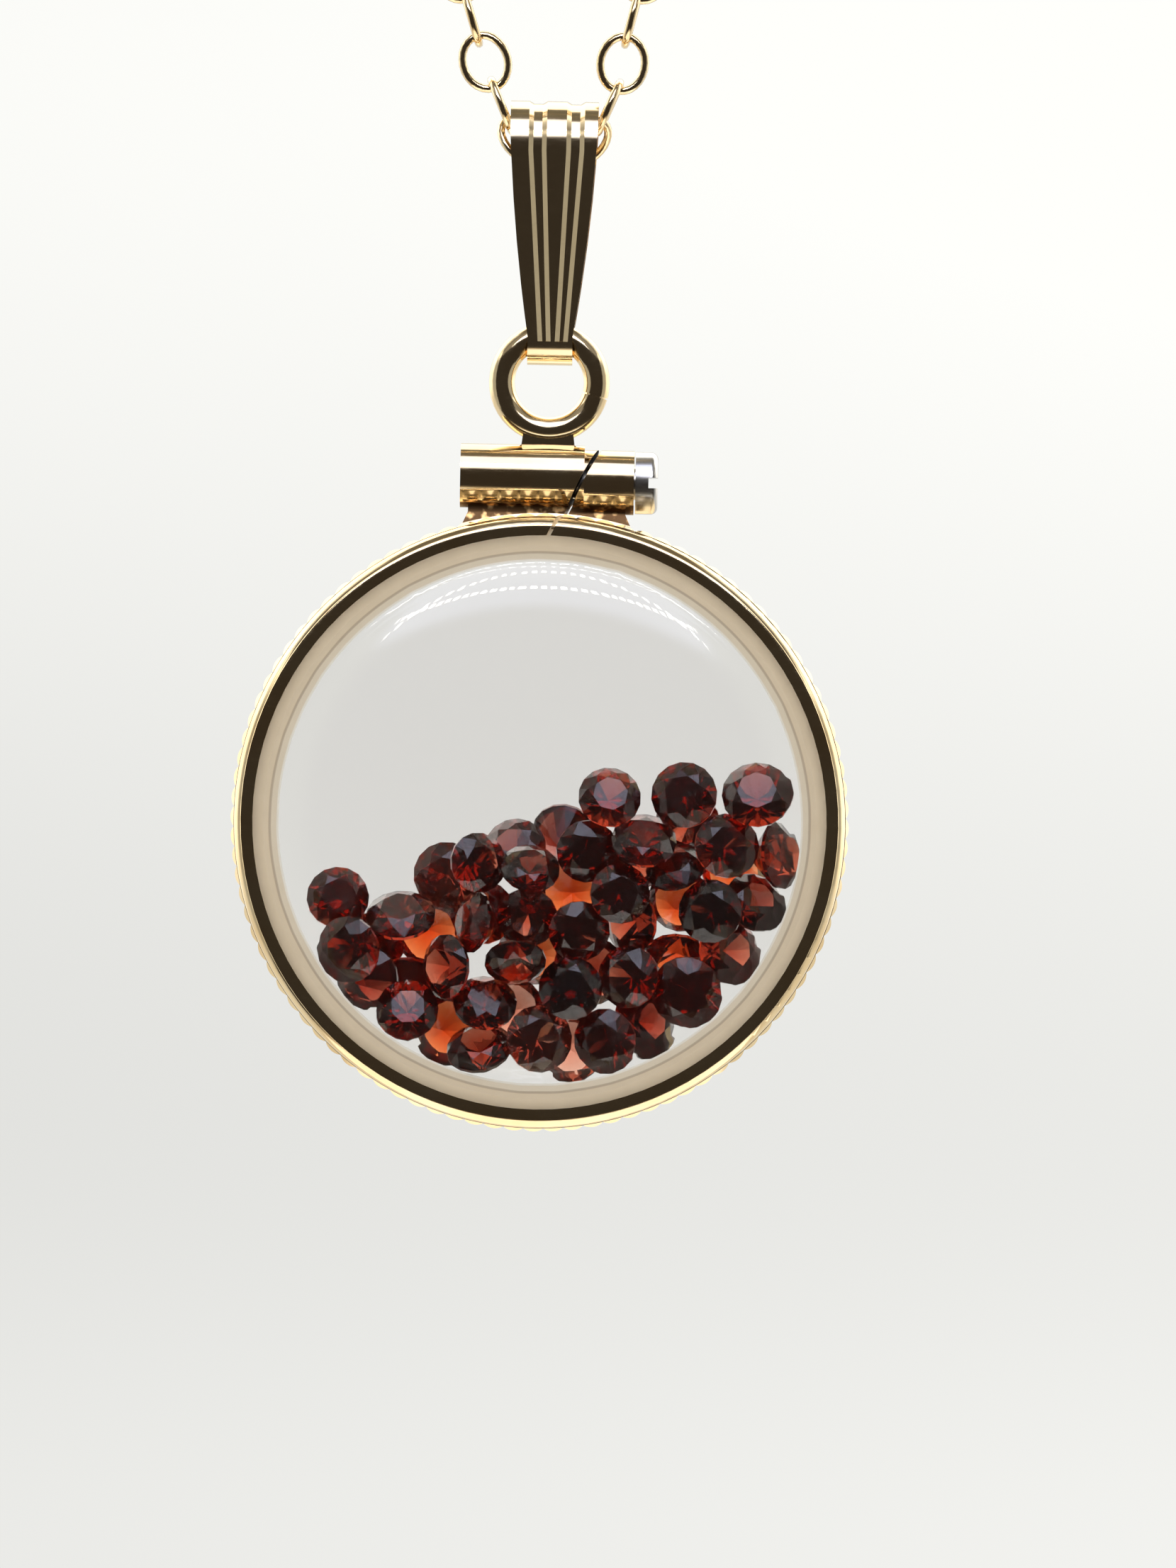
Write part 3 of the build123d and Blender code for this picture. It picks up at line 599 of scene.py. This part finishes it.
to_eye = Matrix.Translation(eye_centre)
front_places, back_places = [], []
for way, headings in ((-1, LEFT_HEADINGS), (1, RIGHT_HEADINGS)):
    side = to_eye if way > 0 else to_eye @ HALF_TURN
    front_places += [side @ placed_link(*link) for link in BESIDE_LINKS]
    (x, _, z), lift = BESIDE_LINKS[-1][:2]
    start = (way * (x + HALF_LINK * cos(radians(lift))), z + HALF_LINK * sin(radians(lift)))
    above = front_route(way, headings)
    walk = Walk(smooth_line([start] + above[len(BESIDE_LINKS) + 1:] + neck_route(way)))
    count = int((walk.length - WIRE) // PITCH)
    pitch = (walk.length - WIRE) / count
    front_end = above[-1][1] + eye_centre.z
    for k in range(count):
        high = walk.at(k * pitch + pitch)
        along = (high - walk.at(k * pitch - BACK_REACH)).normalized()
        place = link_place(high - along * 2 * HALF_LINK, high, 0 if k % 2 == 0 else pi / 2)
        (front_places if high.z < front_end else back_places).append(place)
front_places.append(to_eye @ placed_link(*MIDDLE_LINK))
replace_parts(chain_piece("chain_links_front", front_places), "chain_front")
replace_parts(chain_piece("chain_links_back", back_places), "chain_back")


# Floor

turns = [2 * pi * k / FLOOR_STEPS for k in range(FLOOR_STEPS)]
floor_z = cad_box[0].z - FLOOR_BELOW
rim_points = [(FLOOR_RADIUS * cos(t), FLOOR_RADIUS * sin(t), floor_z) for t in turns]
piece = mesh_piece("floor", rim_points, [tuple(range(FLOOR_STEPS))],
                   plain_matte("floor_white", FLOOR_COLOUR))


# Light: a pale tent behind, a dark room in front, and a panel and small lamps above the camera.
# It is drawn by direction: right_part, height and front are a direction's parts to the right,
# up and toward the camera, and the slopes are the first two over the third.

LOW_TENT = (0.80, 0.78, 0.72)
SIDE_TENT = (1.6, 1.56, 1.48)
HIGH_TENT = (2.2, 2.15, 2.0)
SHADE = (0.62, 0.61, 0.59)
ROOM = (0.036, 0.031, 0.027)
TABLE = (0.66, 0.58, 0.45)
CEILING = (0.17, 0.155, 0.125)
PANEL = (1.7, 1.8, 2.3)
PANEL_ENDS = (0.30, 0.29, 0.27)
CARD_LOW = (0.43, 0.43, 0.41)
CARD_HIGH = (2.0, 1.95, 1.85)
LAMP = (36.0, 35.0, 33.0)
FILL = (1.80, 1.77, 1.70)
# The least that front counts for in a slope, which keeps it finite behind the camera's plane
LEAST_FRONT = 0.05
# The slopes over which the panel fades to its ends, the heights over which the cards change and
# how far to the front the fill comes in
PANEL_FADE = (0.50, 0.65)
CARD_CHANGE = (0.35, 0.5)
FILL_FROM = (-0.1, 0.2)
# Each row of lamps: its slope above level, how much it bends down at the sides, the lamps'
# spacing and how much of that, on each side of its middle, is lit
LAMP_ROWS = ((0.687, 0.0, 0.030, 0.30), (0.937, 1.3, 0.036, 0.25))
LAMP_HEIGHT = (0.012, 0.022)
LAMP_EDGE = 0.05
ROW_ENDS = (0.50, 0.54)
ROW_FROM = (0.2, 0.3)
# The paper is darkest at the height PAPER_TURN. It has gained all its brightness above that at
# PAPER_TOP and below it at PAPER_FOOT, and to the sides it changes as far as PAPER_SIDE.
PAPER_DARKEST = 0.795
PAPER_TURN = -0.019
PAPER_TOP = 0.040
PAPER_TOP_GAIN = 0.205
PAPER_FOOT = -0.042
PAPER_FOOT_GAIN = 0.063
PAPER_SIDE = 0.04
PAPER_TINT = (1.0, 1.0, 0.968)
# The paper through the crystals, seen from the front (THROUGH_FROM) and from elsewhere
# (PAST_FROM), where light that came through both crystals has crossed four surfaces
PAPER_THROUGH = (0.845, 0.845, 0.820)
THROUGH_FROM = (-0.86, -0.93)
PAST_FROM = (-0.5, -0.3)
CROSSED_BOTH = 4.0

world = bpy.data.worlds.new("light_tent")
bpy.context.scene.world = world
world.use_nodes = True
w = Nodes(world.node_tree)
right_part, depth_part, height = w.split(w.add("ShaderNodeTexCoord").outputs["Generated"])
front = w.product(depth_part, -1.0)
slope_x = w.math("DIVIDE", right_part, w.math("MAXIMUM", front, LEAST_FRONT))
slope_z = w.math("DIVIDE", height, w.math("MAXIMUM", front, LEAST_FRONT))
rays = w.add("ShaderNodeLightPath").outputs

# Zones, each painted over the ones before it: its colour and the ramps that it comes in by, each
# a direction's part, where the zone begins and where it is full. The last zone is a pale card at
# each side, brighter higher up, that the flutes' walls mirror.
panel = w.mix(w.ramp(w.math("ABSOLUTE", slope_x), *PANEL_FADE), PANEL, PANEL_ENDS)
card = w.mix(w.ramp(height, *CARD_CHANGE), CARD_LOW, CARD_HIGH)
to_a_side = w.math("ABSOLUTE", right_part)
ZONES = (
    (SIDE_TENT, (height, -0.3, 0.0)),
    (HIGH_TENT, (height, 0.15, 0.35)),
    (SHADE, (front, -0.22, 0.08)),
    (ROOM, (front, 0.10, 0.30)),
    (TABLE, (height, -0.62, -0.74), (front, -0.7, -0.3)),
    (panel, (height, 0.40, 0.48), (front, 0.26, 0.34)),
    (CEILING, (front, 0.34, 0.26), (front, -0.38, -0.28), (height, 0.80, 0.88)),
    (card, (to_a_side, 0.80, 0.86), (front, 0.0, 0.15), (height, -0.5, -0.4)),
)
light = LOW_TENT
for colour, *ramps in ZONES:
    light = w.mix(w.product(*(w.ramp(*ramp) for ramp in ramps)), light, colour)

# Two rows of small lamps that the crystals' outer faces mirror as strings of dots
for slope, bend, spacing, share in LAMP_ROWS:
    line = w.math("SUBTRACT", slope, w.product(slope_x, slope_x, bend))
    row = w.near(w.math("SUBTRACT", slope_z, line), *LAMP_HEIGHT)
    along = w.math("SUBTRACT", w.math("FRACT", w.math("DIVIDE", slope_x, spacing)), 0.5)
    dots = w.near(along, share - LAMP_EDGE, share + LAMP_EDGE)
    ends = w.near(slope_x, *ROW_ENDS)
    outer_face = w.math("LESS_THAN", rays["Transmission Depth"], 0.5)
    lamp = w.product(row, dots, ends, outer_face, w.ramp(front, *ROW_FROM))
    light = w.mix(lamp, light, LAMP)

# Matte plastic gets a soft fill from the front that polished metal doesn't mirror
matte = w.math("GREATER_THAN", rays["Diffuse Depth"], 0.5)
light = w.mix(w.product(matte, w.ramp(front, *FILL_FROM)), light, FILL)

# The paper behind, darkest a little below the middle and brighter at the top and the right
upper = w.ramp(height, PAPER_TURN, PAPER_TOP, 0.0, PAPER_TOP_GAIN)
lower = w.ramp(height, PAPER_TURN, PAPER_FOOT, 0.0, PAPER_FOOT_GAIN)
paper = w.math("ADD", lower, w.math("ADD", upper, PAPER_DARKEST))
from_middle = w.math("ADD", right_part, sin(radians(CAMERA_YAW)))
aside = w.ramp(from_middle, -PAPER_SIDE, PAPER_SIDE, -PAPER_SIDE, PAPER_SIDE, smooth=False)
paper = w.math("ADD", paper, aside)
paper = w.mix(1.0, PAPER_TINT, w.ramp(paper, 0.0, 1.0, smooth=False), "MULTIPLY")

# Seen through the crystals it is even
light = w.mix(w.ramp(front, *THROUGH_FROM), light, PAPER_THROUGH)
# Seen from behind or beside, light that came through both crystals shows the same paper
past = w.math("COMPARE", rays["Transmission Depth"], CROSSED_BOTH, 0.5)
bounces = w.math("ADD", rays["Diffuse Depth"], rays["Glossy Depth"])
straight = w.math("LESS_THAN", bounces, 0.5)
light = w.mix(w.product(past, straight, w.ramp(front, *PAST_FROM)), light, PAPER_THROUGH)

seen = w.mix(rays["Is Camera Ray"], light, paper)
background = w.add("ShaderNodeBackground", {"Color": seen, "Strength": 1.0})
w.add("ShaderNodeOutputWorld", {"Surface": background.outputs[0]})


# Camera at the photograph's angle

camera_data = bpy.data.cameras.new("camera")
camera = bpy.data.objects.new("camera", camera_data)
bpy.context.scene.collection.objects.link(camera)
bpy.context.scene.camera = camera
camera_data.sensor_width = SENSOR
camera_data.lens = SENSOR * CAMERA_DISTANCE / (PHOTO_HEIGHT / PX_PER_MM * MM)
yaw, pitch_angle, roll = radians(CAMERA_YAW), radians(CAMERA_PITCH), radians(CAMERA_ROLL)
toward_camera = Vector(
    (sin(yaw) * cos(pitch_angle), -cos(yaw) * cos(pitch_angle), sin(pitch_angle)))
turn = toward_camera.to_track_quat("Z", "Y").to_matrix() @ Matrix.Rotation(roll, 3, "Z")
right, up = turn.col[0], turn.col[1]
off_x = (PHOTO_WIDTH / 2 - BEZEL_AT_PX[0]) / PX_PER_MM * MM
off_y = (BEZEL_AT_PX[1] - PHOTO_HEIGHT / 2) / PX_PER_MM * MM
aim = bezel_centre + right * off_x + up * off_y
camera.matrix_world = Matrix.Translation(aim + toward_camera * CAMERA_DISTANCE) @ turn.to_4x4()

bpy.context.scene.view_settings.view_transform = "Standard"
